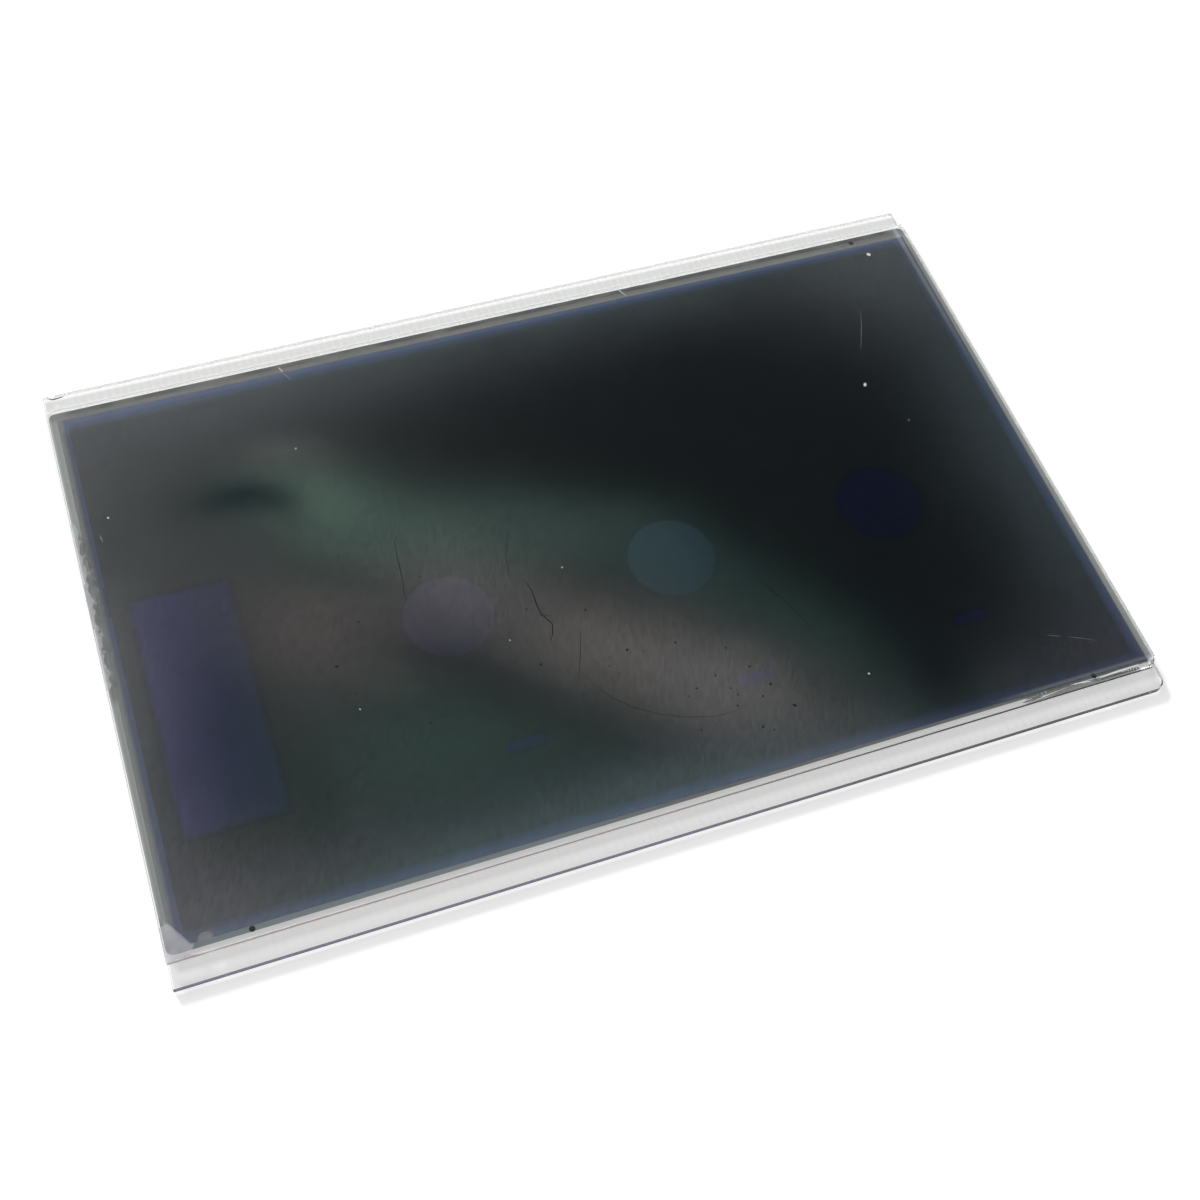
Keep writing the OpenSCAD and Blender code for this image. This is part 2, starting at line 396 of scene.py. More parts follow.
@dataclass(frozen=True)
class Sweep:
    """One soft sweep of tone in the film, partly painted reflection: a fading stroke."""

    at: Point
    size: Point
    turn: float
    tone: Tone
    strength: float


# Sweeps of tone in the old front film, in the order in which they are laid. They are
# partly the film's own tint and partly painted reflections of the surroundings
FILM_SWEEPS_AND_REFLECTIONS = (
    # Veils of painted reflection over the left half and along the four sides
    Sweep((-76, 8), (41, 60), 0, (70, 73, 74), 1.0),
    Sweep((-60, 46), (44, 13), 0, (93, 95, 97), 0.85),
    Sweep((0, 48), (90, 11.5), 0, (78, 86, 90), 1.0),
    Sweep((71, 0), (12, 70), 0, (58, 66, 70), 1.0),
    Sweep((66, 40), (20, 15), 10, (82, 87, 90), 0.75),
    Sweep((-20, -47), (50, 10.5), 0, (84, 95, 99), 1.0),
    Sweep((-70, -46), (22, 12), 20, (104, 104, 108), 0.8),
    Sweep((-73, -6), (8, 50), 0, (100, 102, 106), 0.9),
    Sweep((62, -44), (22, 12), 10, (62, 62, 68), 0.7),
    Sweep((4, -46), (34, 8), 0, (80, 93, 97), 0.7),
    Sweep((-66, 18), (5, 9), 0, (48, 53, 53), 0.4),
    Sweep((-50, 21), (8, 6), 0, (38, 48, 47), 0.35),
    # Green band, from the upper left to the lower right
    Sweep((-35, 16), (10, 6), -38, (76, 96, 87), 1.0),
    Sweep((-22, 6), (18, 7.5), -16, (67, 87, 80), 0.9),
    Sweep((-4, 1), (14, 6), -18, (54, 70, 66), 0.85),
    Sweep((10, -9), (13, 7), -46, (46, 63, 61), 0.85),
    Sweep((23, -23), (17, 6.5), -54, (38, 55, 52), 0.85),
    # Dull green at the lower left
    Sweep((-30, -27), (22, 10), -12, (51, 69, 65), 0.8),
    Sweep((-48, -28), (5, 9), 0, (34, 47, 46), 0.5),
    Sweep((-34, -14), (6, 4), -30, (66, 74, 70), 0.5),
    # Pale brown streak and patches
    Sweep((-42, -3), (14, 9), -12, (80, 77, 76), 0.85),
    Sweep((-1, -20.5), (25, 8.6), -38, (94, 92, 91), 0.95),
    Sweep((11, -30), (10, 7), -35, (99, 99, 100), 0.65),
    Sweep((-21, -3), (9, 6.5), -30, (90, 90, 91), 0.65),
    Sweep((-38, 26), (7, 4), -20, (84, 88, 86), 0.6),
    # Dark places
    Sweep((-37, 4), (10, 2.4), -40, (46, 58, 55), 0.35),
    Sweep((-20, -20), (15, 3.2), -40, (42, 46, 48), 0.6),
    Sweep((-46.5, 20.7), (6.5, 2.8), -10, (20, 36, 38), 0.85),
    Sweep((-42.5, 18.2), (4.5, 2.2), -35, (20, 38, 36), 0.6),
    Sweep((-55, -16), (7, 18), 0, (38, 42, 42), 0.7),
    Sweep((40, -35), (6, 10), -10, (14, 24, 26), 0.8),
)


@dataclass(frozen=True)
class PolarisingFilm:
    """Dark polarising film under a satin hard coat, its tone partly aged haze and partly painted
    reflection.
    """

    name: str
    tone: Tone = (14, 22, 24)
    sweeps: tuple[Sweep, ...] = ()
    solidity: float = 0.58
    coat_shine: float = 0.12
    mirrored: float = 0.006
    shown: float = 0.59
    fibre_turn: float = 21.0
    warp_size: float = 16.0
    warp_reach: float = 2.2
    mottle_size: float = 0.5
    mottle_share: float = 0.24
    hair_size: float = 0.8
    hair_depth: float = 0.0006
    roughness: Ramp = (0.14, 0.22)

    def pigment(self, tone: Tone) -> Tone:
        """Shares of light in the pigment that gives a tone under the coat's own shine."""
        return tuple(max(0.0, share - self.mirrored) / self.shown for share in linear(tone))

    def material(self) -> Material:
        """Builds the film. Light is held back where it goes in, and goes out freely.

        Returns:
            The material.
        """
        sheet = NodeSheet(self.name)
        where = sheet.warped(self.warp_size, self.warp_reach)
        # Sweeps over the pigment: partly the film's own tint, partly painted reflections
        tone = sheet.layered(self.pigment(self.tone), *(
            (sheet.times(sheet.stroke(where, sweep.at, sweep.size, sweep.turn), sweep.strength),
             self.pigment(sweep.tone)) for sweep in self.sweeps))
        along = sheet.moved(sheet.place, turn=self.fibre_turn)
        mottle = sheet.noise(self.mottle_size, detail=3, roughness=0.8,
                             where=sheet.moved(along, stretch=(1, 0.25, 1)))
        tone = sheet.mix(sheet.fade(mottle, 0.3, 0.7, 0.0, self.mottle_share), tone, (0, 0, 0))
        hair = sheet.noise(self.hair_size, detail=2, roughness=0.7,
                           where=sheet.moved(along, stretch=(12, 1, 1)))
        film = sheet.principled(
            Base_Color=tone, Roughness=sheet.fade(hair, 0.3, 0.75, *self.roughness), IOR=1.49,
            Alpha=self.solidity, Specular_IOR_Level=self.coat_shine,
            Normal=sheet.bump(hair, self.hair_depth))
        dim = sheet.clear(3 * (1 - self.solidity,))
        way_in = sheet.blend(sheet.any_ray("Shadow"), film, dim)
        return sheet.finish(sheet.blend(sheet.from_behind(), way_in, sheet.clear()))


@dataclass(frozen=True)
class Grain:
    """A speck, lump or round spot: its place and its width."""

    at: Point
    width: float


def grains(*marks: Place) -> tuple[Grain, ...]:
    """Grains, each given as X, Y and its width."""
    return tuple(Grain((x, y), width) for x, y, width in marks)


@dataclass(frozen=True)
class EpoxySeal:
    """Grey epoxy bead, which looks blue where the film's edge lies over it.

    Its tones are shares of light. Two strips of the film's edge are loose. Their ramps run
    along X, Y and the film's edge at the near side, and along X, X and Y at the right.
    """

    film: Span
    turn: float
    bare: Tone = (0.215, 0.235, 0.23)
    bare_warm: Tone = (0.255, 0.25, 0.24)
    bare_near: Tone = (0.3, 0.345, 0.365)
    bare_side: Tone = (0.31, 0.33, 0.32)
    bare_rim: Tone = (0.62, 0.63, 0.63)
    torn: Tone = (0.37, 0.38, 0.42)
    line_tone: Tone = (0.13, 0.14, 0.14)
    covered: Tone = (0.105, 0.145, 0.325)
    faint: Tone = (0.05, 0.07, 0.2)
    loosened: Tone = (0.45, 0.5, 0.58)
    buried: Tone = (0.008, 0.012, 0.03)
    blue_width: float = 2.3
    blue_edge: Ramp = (-0.25, 0.1)
    fainter_at: Point = (49.0, -42.0)
    fainter_size: Point = (13.0, 4.0)
    line_width: float = 0.75
    line_ends: Ramp = (67.5, 66.0)
    short_sides: Ramp = (67.0, 69.0)
    left_rim: Ramp = (-69.35, -69.8)
    near_left: tuple[Ramp, Ramp] = ((5.0, -25.0), (-20.0, -38.0))
    torn_corner: tuple[Point, Point] = ((-68.8, -39.2), (-66.6, -42.6))
    torn_blur: Ramp = (0.4, -0.4)
    bite_at: Point = (-64.85, -42.12)
    bite_rim: Ramp = (1.2, 0.9)
    bite_foot: Ramp = (-42.5, -42.3)
    loose_near: tuple[Ramp, Ramp, Ramp] = ((42.0, 53.0), (-41.7, -42.2), (-42.27, -42.17))
    loose_right: tuple[Ramp, Ramp, Ramp] = ((68.1, 68.6), (69.05, 68.95), (5.0, 32.0))

    def material(self) -> Material:
        """Builds the epoxy. It is paler at the short sides, and its far side has a dark line.

        Returns:
            The material.
        """
        sheet = NodeSheet("seal_epoxy")
        x, y, _ = sheet.axes(sheet.place)
        edge = sheet.sum("MULTIPLY_ADD", x, -math.radians(self.turn), y)
        sideways = sheet.sum("ABSOLUTE", x)
        start = Span.of("edge_seal").high.y - self.line_width
        broken = sheet.noise(1.6, detail=3, where=sheet.moved(sheet.place, stretch=(0.3, 1, 1)))
        line = sheet.times(sheet.fade(y, start - 0.2, start + 0.1),
                           sheet.fade(broken, 0.35, 0.6, 0.2, 1.0),
                           sheet.fade(sideways, *self.line_ends))
        bare = sheet.layered(
            self.bare, (sheet.fade(sheet.noise(2.2, detail=3), 0.35, 0.65), self.bare_warm),
            (sheet.within(*zip((x, y), self.near_left)), self.bare_near),
            (sheet.fade(sideways, *self.short_sides), self.bare_side),
            (sheet.fade(x, *self.left_rim), self.bare_rim), (line, self.line_tone))
        beyond = sheet.frame_distance(self.film, self.turn)
        fainter = sheet.stroke(sheet.place, self.fainter_at, self.fainter_size)
        covered = sheet.layered(self.covered, (fainter, self.faint),
                                (sheet.fade(beyond, -0.2, -self.blue_width), self.buried))
        loose = sheet.sum("MAXIMUM", sheet.within(*zip((x, y, edge), self.loose_near)),
                          sheet.within(*zip((x, x, y), self.loose_right)))
        (x0, y0), (x1, y1) = self.torn_corner
        past = sheet.sum("MULTIPLY_ADD", sheet.sum("SUBTRACT", x, x0), y0 - y1,
                         sheet.times(sheet.sum("SUBTRACT", y, y0), x1 - x0))
        bitten = sheet.within((sheet.distance(self.bite_at), self.bite_rim),
                              (edge, self.bite_foot))
        tone = sheet.layered(
            covered, (sheet.fade(beyond, *self.blue_edge), bare), (loose, self.loosened),
            (sheet.fade(past, *self.torn_blur), self.torn), (bitten, self.torn))
        return sheet.finish(sheet.principled(Base_Color=tone, Roughness=0.5, IOR=GLASS_IOR,
                                             Specular_IOR_Level=0.1))


@dataclass(frozen=True)
class PlainFinish:
    """A finish whose tone, given as shares of light, and roughness drift from place to place."""

    name: str
    tone: Tone
    other: Tone
    cloud: float = 1.0
    roughness: float = 0.6
    shine: float = 0.2
    solidity: float = 1.0
    relief: float = 0.0

    def material(self) -> Material:
        """Builds the finish, whose roughness drifts by a fifth either way.

        Returns:
            The material.
        """
        sheet = NodeSheet(self.name)
        cloud = sheet.cloud(self.cloud)
        rough = sheet.fade(cloud, 0.2, 0.8, self.roughness * 0.8, self.roughness * 1.2)
        relief = {}
        if self.relief:
            relief["Normal"] = sheet.bump(sheet.noise(self.cloud / 4, detail=4), self.relief)
        return sheet.finish(sheet.principled(
            Base_Color=sheet.mix(sheet.fade(cloud, 0.3, 0.7), self.tone, self.other),
            Roughness=rough, Specular_IOR_Level=self.shine, Alpha=self.solidity, IOR=1.5,
            **relief))


@dataclass(frozen=True)
class DarkCrystal:
    """Dark liquid crystal, which turns blue beside the seal on its far side."""

    far_side: float
    cloudy: Tone = (0.007, 0.009, 0.009)
    rim: Tone = (0.02, 0.06, 0.19)
    rim_width: float = 1.4

    def material(self) -> Material:
        """Builds the liquid crystal.

        Returns:
            The material.
        """
        sheet = NodeSheet("dark_crystal")
        y = sheet.axes(sheet.place)[1]
        tone = sheet.layered(
            CRYSTAL_TONE, (sheet.fade(sheet.cloud(), 0.3, 0.7), self.cloudy),
            (sheet.fade(y, self.far_side - self.rim_width, self.far_side), self.rim))
        return sheet.finish(sheet.principled(Base_Color=tone, Roughness=0.5,
                                             Specular_IOR_Level=0.2))


@dataclass(frozen=True)
class FieldInk:
    """Coloured ink of a field, stronger at one end where a painted reflection lies over it. Its
    tones are shares of light.
    """

    node: str
    tone_in_reflection: Tone
    tone_past_reflection: Tone
    run: Point = (0.4, -0.8)
    is_round: bool = False
    soft_edge: float = 1.0

    def material(self) -> Material:
        """Builds the ink, whose tone goes from tone_in_reflection to tone_past_reflection along run
        as a painted reflection, and fades at the edge.

        Returns:
            The material.
        """
        sheet = NodeSheet(self.node.replace("_patch", "_ink"))
        span = Span.of(self.node)
        middle = sheet.moved(sheet.place, shift=(-span.middle.x, -span.middle.y, 0))
        across, along, _ = sheet.axes(middle)
        reach = sheet.sum("MULTIPLY_ADD", across, self.run[0] / span.size.x,
                          sheet.times(along, self.run[1] / span.size.y))
        drift = sheet.sum("SUBTRACT", sheet.cloud(), 0.5)
        reach = sheet.sum("MULTIPLY_ADD", drift, 0.5, reach)
        beyond = (sheet.sum("SUBTRACT", sheet.distance(span.middle), span.size.x / 2)
                  if self.is_round else sheet.frame_distance(span))
        # The change from one tone to the other along run is a painted reflection over the ink
        tone = sheet.layered(self.tone_in_reflection, (sheet.fade(reach, -0.5, 0.5), self.tone_past_reflection),
                             (sheet.fade(beyond, -self.soft_edge, 0.0), CRYSTAL_TONE))
        return sheet.finish(sheet.principled(Base_Color=tone, Roughness=0.6,
                                             Specular_IOR_Level=0.1))


def dress(node: str, material: Material, skin: float = SKIN) -> None:
    """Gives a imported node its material, and draws its skin in so that it clears its neighbours.

    Args:
        node: Name of the node.
        material: Its material.
        skin: How far the skin is drawn in.
    """
    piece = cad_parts[node]
    piece.data.materials.clear()
    piece.data.materials.append(material)
    drawn_in = piece.modifiers.new("skin", "DISPLACE")
    drawn_in.strength = -skin * MM
    drawn_in.mid_level = 0.0
    LOG.info("dressed %s", node)


def new_object(name: str, shape: Shape, material: Material) -> bpy.types.Object:
    """Makes an object of the scene out of a shape.

    Args:
        name: Name of the object.
        shape: Its shape in metres, which is freed.
        material: Its material.

    Returns:
        The object.
    """
    mesh = bpy.data.meshes.new(name)
    shape.to_mesh(mesh)
    shape.free()
    mesh.materials.append(material)
    piece = bpy.data.objects.new(name, mesh)
    bpy.context.scene.collection.objects.link(piece)
    return piece


@dataclass(frozen=True)
class Line:
    """A fine line drawn on a surface: its points, and its width in the middle."""

    points: tuple[Point, ...]
    width: float
    wander: float = 0.05


@dataclass
class LineMaker:
    """Lays thin lines on a flat surface as low closed ridges."""

    surface: float
    height: float
    pace: float = 0.45
    seed: int = 7
    tip: float = 0.15
    sides: int = 6

    def lay(self, shape: Shape, line: Line) -> None:
        """Adds one line to a shape.

        Args:
            shape: The shape that it goes into.
            line: The line.
        """
        places = self._places(line)
        stations = [self._station(places, number, line.width) for number in range(len(places))]
        start = bmesh.ops.create_circle(shape, cap_ends=True, segments=self.sides, radius=0.5,
                                        matrix=stations[0])
        face = start["verts"][0].link_faces[0]
        for before, after in zip(stations, stations[1:]):
            grown = bmesh.ops.extrude_face_region(shape, geom=[face])["geom"]
            face = next(item for item in grown if isinstance(item, bmesh.types.BMFace))
            bmesh.ops.transform(shape, verts=list(face.verts), matrix=after @ before.inverted())

    def _places(self, line: Line) -> list[Vector]:
        """Points along the line at an even pace, each a little off it by chance.

        Args:
            line: The line.

        Returns:
            The points.
        """
        chance = random.Random(self.seed + len(line.points))
        places = []
        for start, end in zip(line.points, line.points[1:]):
            start, end = Vector(start), Vector(end)
            steps = max(1, round((end - start).length / self.pace))
            for step in range(steps):
                off = Vector((chance.uniform(-1, 1), chance.uniform(-1, 1))) * line.wander
                places.append(start.lerp(end, step / steps) + off)
        places.append(Vector(line.points[-1]))
        return places

    def _station(self, places: list[Vector], number: int, width: float) -> Matrix:
        """Place, turn and size of the line's section at one of its points.

        Args:
            places: Points along the line.
            number: Number of the point.
            width: Width of the line in its middle.

        Returns:
            The section's matrix.
        """
        ahead = places[min(number + 1, len(places) - 1)] - places[max(number - 1, 0)]
        ahead = ahead.normalized()
        share = number / (len(places) - 1)
        swell = self.tip + (1 - self.tip) * math.sin(math.pi * share) ** 0.5
        side = Vector((-ahead.y, ahead.x, 0)) * width * swell
        up = Vector((0, 0, self.height))
        place = Vector((places[number].x, places[number].y, self.surface))
        turned = Matrix((side, up, Vector((ahead.x, ahead.y, 0)))).transposed().to_4x4()
        return Matrix.Translation(place) @ turned


@dataclass
class GrainMaker:
    """Sets flat uneven specks on a surface."""

    surface: float
    height: float
    seed: int = 3
    jitter: float = 0.22

    def lay(self, shape: Shape, grain: Grain) -> None:
        """Adds one speck to a shape.

        Args:
            shape: The shape that it goes into.
            grain: The speck.
        """
        chance = random.Random(self.seed + round(10 * grain.at[0]) + round(100 * grain.at[1]))
        size = Vector((grain.width, grain.width * chance.uniform(0.5, 0.9), self.height))
        turn = Matrix.Rotation(chance.uniform(0, math.pi), 3, "Z")
        place = Matrix.LocRotScale(Vector((*grain.at, self.surface)), turn, size)
        ball = bmesh.ops.create_icosphere(shape, subdivisions=2, radius=0.5 - self.jitter / 4,
                                          matrix=place)
        for vert in ball["verts"]:
            off = (chance.uniform(-1, 1), chance.uniform(-1, 1))
            vert.co += Vector((*off, 0)) * grain.width * self.jitter / 2


def lay_marks(name: str, maker: LineMaker | GrainMaker, marks: Sequence[Line | Grain],
              finish: PlainFinish) -> None:
    """Lays marks of one kind as one added piece on the cell's body.

    Args:
        name: Name of the piece.
        maker: What lays the marks.
        marks: The marks.
        finish: Their finish.
    """
    shape = bmesh.new()
    for mark in marks:
        maker.lay(shape, mark)
    bmesh.ops.recalc_face_normals(shape, faces=shape.faces)
    bmesh.ops.scale(shape, verts=shape.verts, vec=(MM, MM, MM))
    piece = new_object(name, shape, finish.material())
    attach(piece, BODY)
    LOG.info("added %s with %d faces", name, len(piece.data.polygons))


@dataclass
class GlassPlates:
    """The two glass plates. Painted contact shade darkens their cut sides up to a height."""

    rear_shade_band: float = 1.3
    front_shade_band: float = 0.55

    def build(self) -> None:
        """Dresses both plates, with shade painted on the rear cut sides and the front ones' foot.
        """
        rear = CutGlass(
            "rear_plate_glass", cut_tint=(0.8, 0.79, 0.8), cut_other=(0.79, 0.8, 0.8),
            inner_tint=(0.52, 0.52, 0.52), shade_band_left=(0.16, 0.155, 0.2),
            shade_band_right=(0.1, 0.1, 0.105), shade_band_top=Span.of("rear_glass").low.z + self.rear_shade_band)
        dress("rear_glass", rear.material())
        front = CutGlass(
            "front_plate_glass", cut_tint=(0.95, 0.9, 0.89), cut_other=(0.88, 0.95, 0.91),
            inner_tint=(0.8, 0.8, 0.78), shade_band_left=(0.44, 0.36, 0.36),
            shade_band_right=(0.06, 0.055, 0.06), gloss=0.4, way_out=0.4,
            shade_band_top=Span.of("front_glass").low.z + self.front_shade_band)
        dress("front_glass", front.material())


@dataclass
class Films:
    """The polarising films on both faces, with the front one's cracks, scratches and dust."""

    cracks: tuple[Line, ...] = (
        Line(((-26.8, 7.7), (-27.3, 6.5), (-27.6, 4.2), (-27.8, 1.6), (-28.1, -0.9),
              (-28.4, -2.5)), 0.1),
        Line(((-11.6, -4.7), (-11.1, -7.1), (-11.2, -9.0), (-11.0, -10.9), (-10.1, -12.6),
              (-10.5, -14.1), (-11.3, -15.4)), 0.15),
        Line(((-11.0, -10.6), (-10.4, -11.2), (-9.9, -11.3)), 0.11),
        Line(((-6.7, -14.9), (-7.8, -18.1), (-9.6, -22.5)), 0.09),
    )
    faint_cracks: tuple[Line, ...] = (
        Line(((-11.1, 4.3), (-12.9, -0.3), (-13.5, -4.1)), 0.12),
        Line(((19.4, -12.8), (21.2, -15.9), (22.7, -18.7), (23.9, -22.1), (25.0, -25.7)), 0.14),
        Line(((-8.8, -20.7), (-7.6, -23.6), (-5.9, -26.1), (-3.4, -28.5), (-0.6, -30.3),
              (3.0, -31.9), (6.8, -32.9), (9.5, -32.9), (12.0, -32.2)), 0.12),
    )
    scratches: tuple[Line, ...] = (
        Line(((-35.1, 40.7), (-34.8, 40.0), (-34.4, 39.3)), 0.18, 0.02),
        Line(((-66.2, 20.0), (-66.3, 19.1), (-66.1, 18.2)), 0.14, 0.02),
        Line(((56.4, -35.0), (57.6, -35.5), (58.4, -35.8)), 0.06, 0.02),
        Line(((59.3, -36.2), (61.2, -37.0), (62.9, -37.9)), 0.06, 0.02),
        Line(((55.5, 27.8), (53.9, 24.0), (52.1, 20.2)), 0.07, 0.02),
    )
    dust: tuple[Grain, ...] = grains(
        (49.9, 13.7, 0.75), (61.7, 38.4, 0.8), (-5.8, -4.3, 0.35), (-38.8, -17.6, 0.3),
        (29.4, -33.1, 0.3), (-64.7, 22.2, 0.35), (-36.7, 26.5, 0.3), (53.6, 5.5, 0.25),
        (-16.5, -13.4, 0.25))
    grit: tuple[Grain, ...] = grains(
        (-35.6, -4.5, 0.45), (-40.1, -10.4, 0.5), (-38.8, -15.1, 0.3), (-12.8, -9.4, 0.35),
        (-4.9, -11.9, 0.4), (-1.5, -19.6, 0.5), (0.6, -20.6, 0.3), (-13.6, -18.3, 0.45),
        (-28.0, -21.9, 0.3), (-30.4, -22.3, 0.35), (5.3, -20.5, 0.45), (10.5, -20.6, 0.3),
        (-25.4, 0.1, 0.3), (-7.0, 0.1, 0.25), (-10.6, 5.4, 0.25), (-4.7, -21.3, 0.3),
        (8.8, -27.0, 0.4), (5.6, -28.1, 0.35), (4.1, -28.9, 0.3), (10.1, -29.5, 0.3),
        (10.7, -30.7, 0.35), (13.8, -27.1, 0.45), (15.6, -30.5, 0.5), (13.9, -31.9, 0.5),
        (17.5, -34.5, 0.6), (18.9, -30.4, 0.3), (11.8, -23.4, 0.35), (10.0, -32.3, 0.35),
        (3.9, -34.2, 0.3), (12.1, -36.3, 0.4), (13.4, -37.1, 0.35), (-3.4, -28.4, 0.3),
        (-12.1, -29.5, 0.3))
    grit_along: Point = (-20, 15)
    grit_across: Point = (-33, -10)
    grit_widths: Point = (0.1, 0.26)
    grit_count: int = 26
    seed: int = 11

    def build(self) -> None:
        """Dresses both films and lays the marks on the front one."""
        front = PolarisingFilm("front_film", sweeps=FILM_SWEEPS_AND_REFLECTIONS)
        dress("front_polariser", front.material(), FILM_SKIN)
        rear = PolarisingFilm("rear_film", tone=(40, 42, 46), solidity=0.64)
        dress("rear_polariser", rear.material())
        top = Span.of("front_polariser").high.z - FILM_SKIN
        lines = LineMaker(surface=top, height=0.014)
        specks = GrainMaker(surface=top, height=0.03)
        dark = PlainFinish("crack_shadow", (0.004, 0.004, 0.005), (0.01, 0.01, 0.01),
                           roughness=0.7, shine=0.05)
        # Faint crack lines: painted shade in the fine cracks
        faint = PlainFinish("faint_crack_shadow", (0.006, 0.008, 0.008), (0.01, 0.01, 0.01),
                            roughness=0.7, shine=0.05, solidity=0.3)
        pale = PlainFinish("scuffed_coat", (0.3, 0.31, 0.31), (0.42, 0.43, 0.43), solidity=0.45)
        dusty = PlainFinish("dust", (0.55, 0.54, 0.5), (0.75, 0.74, 0.7), cloud=0.3, roughness=0.8)
        gritty = PlainFinish("grit", (0.012, 0.012, 0.012), (0.02, 0.018, 0.015), cloud=0.3,
                             roughness=0.8, shine=0.05, solidity=0.7)
        for name, maker, marks, finish in (
                ("film_cracks", lines, self.cracks, dark),
                ("film_faint_cracks", lines, self.faint_cracks, faint),
                ("film_scratches", lines, self.scratches, pale),
                ("film_dust", specks, self.dust, dusty),
                ("film_grit", specks, self.grit + self._scattered_grit(), gritty)):
            lay_marks(name, maker, marks, finish)

    def _scattered_grit(self) -> tuple[Grain, ...]:
        """Fine dark grit scattered by chance over the pale streak."""
        draw = random.Random(self.seed).uniform
        return grains(*((draw(*self.grit_along), draw(*self.grit_across),
                         draw(*self.grit_widths)) for _ in range(self.grit_count)))


@dataclass
class SealAndFilling:
    """Everything in the gap between the plates."""

    film_turn: float = -0.2
    seen_low: Point = (0.85, 0.45)
    seen_high: Point = (0.3, 0.3)

    def build(self) -> None:
        """Dresses the seal, plug, dots, liquid crystal and colour fields.

        The seal turns blue a little way in from the film's low sides and past its high ones.
        """
        film = Span.of("front_polariser")
        covering = Span(film.low + Vector((*self.seen_low, 0)),
                        film.high + Vector((*self.seen_high, 0)))
        epoxy = EpoxySeal(covering, self.film_turn).material()
        dress("edge_seal", epoxy)
        dress("port_plug", epoxy)
        dress("liquid_crystal", DarkCrystal(Span.of("liquid_crystal").high.y).material())
        paste = PlainFinish("dot_paste", (0.02, 0.022, 0.024), (0.04, 0.04, 0.045), cloud=0.3,
                            roughness=0.5)
        for dot in ("near_left_dot", "near_right_dot", "far_right_dot"):
            dress(dot, paste.material())
        self._dress_fields()

    @staticmethod
    def _dress_fields() -> None:
        """Dresses the gauge's violet field and the blue fields, fainter to the right."""
        fields = [FieldInk("gauge_patch", (0.064, 0.046, 0.27), (0.02, 0.042, 0.13),
                           run=(0.9, -0.3), soft_edge=1.4)]
        for place, tone_in_reflection, tone_past_reflection, label in (
                ("left", (0.09, 0.064, 0.15), (0.028, 0.03, 0.095), (0.012, 0.004, 0.12)),
                ("middle", (0.06, 0.096, 0.15), (0.03, 0.046, 0.1), (0.01, 0.006, 0.15)),
                ("right", (0.004, 0.006, 0.056), (0.004, 0.005, 0.044), (0.01, 0.008, 0.08))):
            fields.append(FieldInk(f"{place}_dial_patch", tone_in_reflection, tone_past_reflection, is_round=True,
                                   soft_edge=0.6))
            fields.append(FieldInk(f"{place}_label_patch", label, label))
        for ink in fields:
            dress(ink.node, ink.material())


@dataclass
class ContactRows:
    """The clear conductive contacts on both ledges."""

    solidity: float = 0.022

    def build(self) -> None:
        """Dresses both rows."""
        coat = PlainFinish("conductive_coat", (0.5, 0.62, 0.54), (0.66, 0.52, 0.56), cloud=7.0,
                           roughness=0.15, shine=0.5, solidity=self.solidity)
        for row in ("near_contacts", "far_contacts"):
            dress(row, coat.material())


@dataclass
class GlueRemains:
    """Old glue on the front plate, with the lumps along its left side."""

    lumps: tuple[Grain, ...] = grains(
        (-68.6, 14.2, 1.3), (-68.5, 12.9, 0.8), (-68.4, 10.9, 1.1), (-68.9, 17.0, 0.8),
        (-69.0, 19.4, 0.7), (-68.8, 9.0, 0.9), (-69.0, 3.7, 0.9), (-69.2, 1.0, 0.7),
        (-69.1, -2.4, 0.7), (-68.9, 30.0, 0.5))
    edge_lines: tuple[Line, ...] = (
        Line(((-68.7, 20.6), (-68.8, 18.4), (-68.9, 16.8), (-68.6, 15.4), (-68.0, 14.6)), 0.13),
        Line(((-68.0, 13.7), (-68.5, 12.9), (-68.4, 12.2), (-68.0, 11.4)), 0.13),
        Line(((-68.0, 10.3), (-68.6, 9.4), (-68.8, 7.6), (-69.0, 5.6)), 0.13),
    )

    def build(self) -> None:
        """Dresses the glue and adds its lumps and its dirty edge."""
        glue = PlainFinish("old_glue", (0.46, 0.46, 0.49), (0.62, 0.62, 0.66),
                           solidity=0.28, relief=0.01)
        dress("old_glue", glue.material())
        top = Span.of("front_glass").high.z
        pale = PlainFinish("glue_lump", (0.34, 0.35, 0.35), (0.5, 0.5, 0.5), cloud=0.6,
                           solidity=0.28, relief=0.02)
        lay_marks("glue_lumps", GrainMaker(surface=top + 0.03, height=0.1, jitter=0.1),
                  self.lumps, pale)
        dirt = PlainFinish("glue_dirt", (0.05, 0.05, 0.05), (0.09, 0.09, 0.09), cloud=0.5,
                           roughness=0.8, solidity=0.35)
        lay_marks("glue_dirt", LineMaker(surface=top + 0.02, height=0.03), self.edge_lines, dirt)


